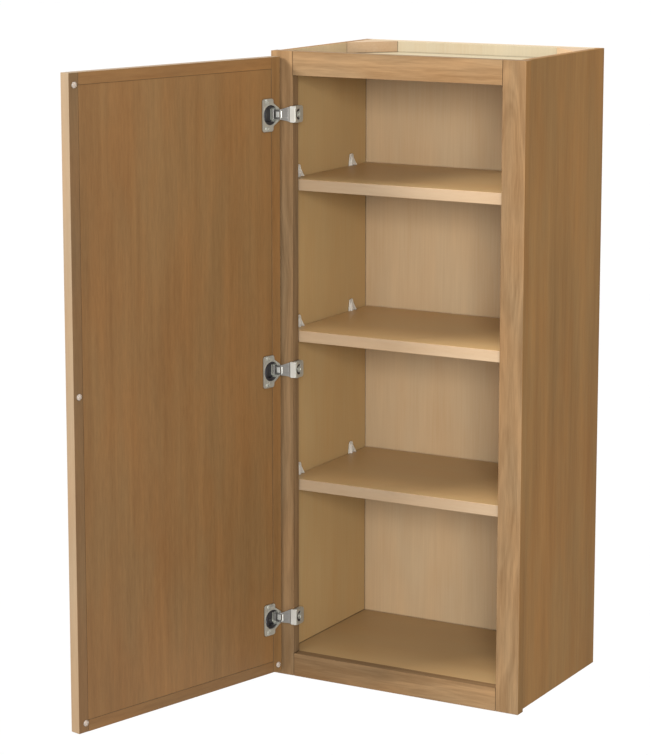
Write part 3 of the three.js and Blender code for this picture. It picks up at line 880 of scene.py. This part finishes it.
def cabinet_half(height):
    """The pieces of a hinge that stay on the face frame, as for put_pieces."""
    case = cabinet_space(height)
    quarter = math.radians(90)
    sideways = Matrix.Rotation(quarter, 4, "Y") @ Matrix.Rotation(quarter, 4, "Z")
    edge = case @ Matrix.Translation((STILE_EDGE, 0, 0)) @ sideways
    seat = edge @ Matrix.Translation((BASE_SCREW_AT, 0, BASE_SCREW_SEAT))
    arm, arm_end = arm_and_end()
    return [
        ("formed_arm", arm, case, "zinc_in_painted_shade", "arm"),
        ("arm_end", arm_end, case, "bright", None),
        ("link_pin", pin(*LINK_PIN, LINK_PIN_AT), case, "bright", None),
        # A painted highlight where the arm leaves the cup.
        ("painted_highlight_clip", painted_highlight_clip(), case, "bright", None),
        ("cast_base", hinge_base(), edge, "steel", "base"),
        # The cam in the dark moulding: painted shade in the base's slot round the screw.
        ("cam", cam_ring(BASE_THICK - 0.8), edge, "dark", None),
        ("base_fixing", screw(BASE_SCREW_LONG), seat, "steel", "base_screw"),
    ]


def put_pieces(hinge, rides, looks, pieces):
    """Makes each (name, shape, place, look, the plain CAD part it stands for or None)."""
    for name, shape, place, look, plain_part in pieces:
        stands_for = [f"{hinge}_{plain_part}"] if plain_part else []
        make_piece(f"{hinge}_{name}", shape, place, looks[look], rides, stands_for)


def make_hinges():
    looks = hinge_metals()
    for i in (1, 2, 3):
        low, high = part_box(f"hinge_{i}_pin")
        height = (low.z + high.z) / 2
        put_pieces(f"hinge_{i}", "door", looks, door_half(height))
        put_pieces(f"hinge_{i}", "cabinet", looks, cabinet_half(height))


# ---- Bumpers, in millimetres ----

BUMPER_TALL = 2.9
BUMPER_COLOUR = (0.85, 0.72, 0.60)


def bumper_dome(radius, steps=10):
    turns = [math.pi / 2 * i / steps for i in range(steps)]
    dome = [(radius * math.cos(turn), BUMPER_TALL * math.sin(turn)) for turn in turns]
    return turned([(0, 0), *dome, (0, BUMPER_TALL)])


def make_bumpers():
    """Soft clear domes in place of the plain ones."""
    clear = moulded("soft clear plastic", BUMPER_COLOUR, 0.25, Transmission_Weight=0.7, IOR=1.45)
    lay = Matrix.Rotation(math.radians(-90), 4, "X") @ Matrix.Scale(MM, 4)
    for node in [name for name in NODES if name.startswith("bumper")]:
        low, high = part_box(node)
        radius = (high.z - low.z) / 2 / MM
        middle = Matrix.Translation((low + high) / 2) @ Matrix.Rotation(-OPEN_ANGLE, 4, "Z")
        foot = middle @ Matrix.Translation((0, -BUMPER_TALL / 2 * MM, 0))
        dome = bumper_dome(radius)
        make_piece(f"clear_{node}", dome, foot @ lay, clear, "door", [node])


# ---- Stage ----

FLOOR_DROP = 1.37  # a wall cabinet's usual height over the floor
FLOOR_HALF = 60
FLOOR_COLOUR = (0.97, 0.97, 0.97)
WORLD_STRENGTH = 1.05
# Each softbox's place, its width in metres and its power in watts.
SOFTBOXES = {
    "key": ((-3.36, -4.27, 2.09), 1.2, 574),
    "camera side": ((3.0, -5.4, 0.9), 1.4, 321),
    "front": ((0.3, -5.2, 0.4), 3.0, 72),
    "overhead": ((0, -0.4, 2.0), 1.5, 41),
}
CAMERA_PLACE = (1.9389, -3.99, 0.3512)
CAMERA_DOWN = math.radians(9.693)
CAMERA_ROUND = math.radians(29.395)


def plain(name, colour):
    material, _, _ = new_material(name, Base_Color=(*colour, 1), Roughness=0.9)
    return material


def make_floor():
    bottom = cad_box[0][2] - FLOOR_DROP
    mesh = bpy.data.meshes.new("floor")
    corners = [(-FLOOR_HALF, -FLOOR_HALF), (FLOOR_HALF, -FLOOR_HALF)]
    corners += [(FLOOR_HALF, FLOOR_HALF), (-FLOOR_HALF, FLOOR_HALF)]
    mesh.from_pydata([(x, y, bottom) for x, y in corners], [], [(0, 1, 2, 3)])
    mesh.materials.append(plain("pale floor", FLOOR_COLOUR))
    floor = bpy.data.objects.new("floor", mesh)
    bpy.context.scene.collection.objects.link(floor)
    return floor


def spare(thing):
    """A group that has softboxes light everything but that thing."""
    group = bpy.data.collections.new("spared")
    group.objects.link(thing)
    group.collection_objects[0].light_linking.link_state = "EXCLUDE"
    return group


def make_world():
    world = bpy.data.worlds.new("studio")
    world.use_nodes = True
    background = world.node_tree.nodes["Background"]
    background.inputs["Color"].default_value = (1, 1, 1, 1)
    background.inputs["Strength"].default_value = WORLD_STRENGTH
    bpy.context.scene.world = world


def make_softbox(name, place, size, power, spared):
    light = bpy.data.lights.new(name, "AREA")
    light.shape = "SQUARE"
    light.size = size
    light.energy = power
    softbox = bpy.data.objects.new(name, light)
    softbox.location = place
    middle = (Vector(cad_box[0]) + Vector(cad_box[1])) / 2
    direction = middle - Vector(place)
    softbox.rotation_euler = direction.to_track_quat("-Z", "Y").to_euler()
    softbox.visible_camera = False
    softbox.light_linking.receiver_collection = spared
    bpy.context.scene.collection.objects.link(softbox)


def make_camera():
    camera = bpy.data.cameras.new("camera")
    camera.lens = 122.98
    camera.sensor_width = 36
    camera.shift_y = -0.105
    camera.clip_end = 500
    holder = bpy.data.objects.new("camera", camera)
    holder.location = CAMERA_PLACE
    holder.rotation_euler = (math.pi / 2 - CAMERA_DOWN, 0, CAMERA_ROUND)
    bpy.context.scene.collection.objects.link(holder)
    bpy.context.scene.camera = holder


def make_stage():
    make_world()
    floor = make_floor()
    spared = spare(floor)
    for name, (place, size, power) in SOFTBOXES.items():
        make_softbox(name, place, size, power, spared)
    make_camera()
    bpy.context.scene.view_settings.view_transform = "Standard"


finish_carcass()
finish_door()
finish_clips()
make_bumpers()
make_hinges()
make_stage()
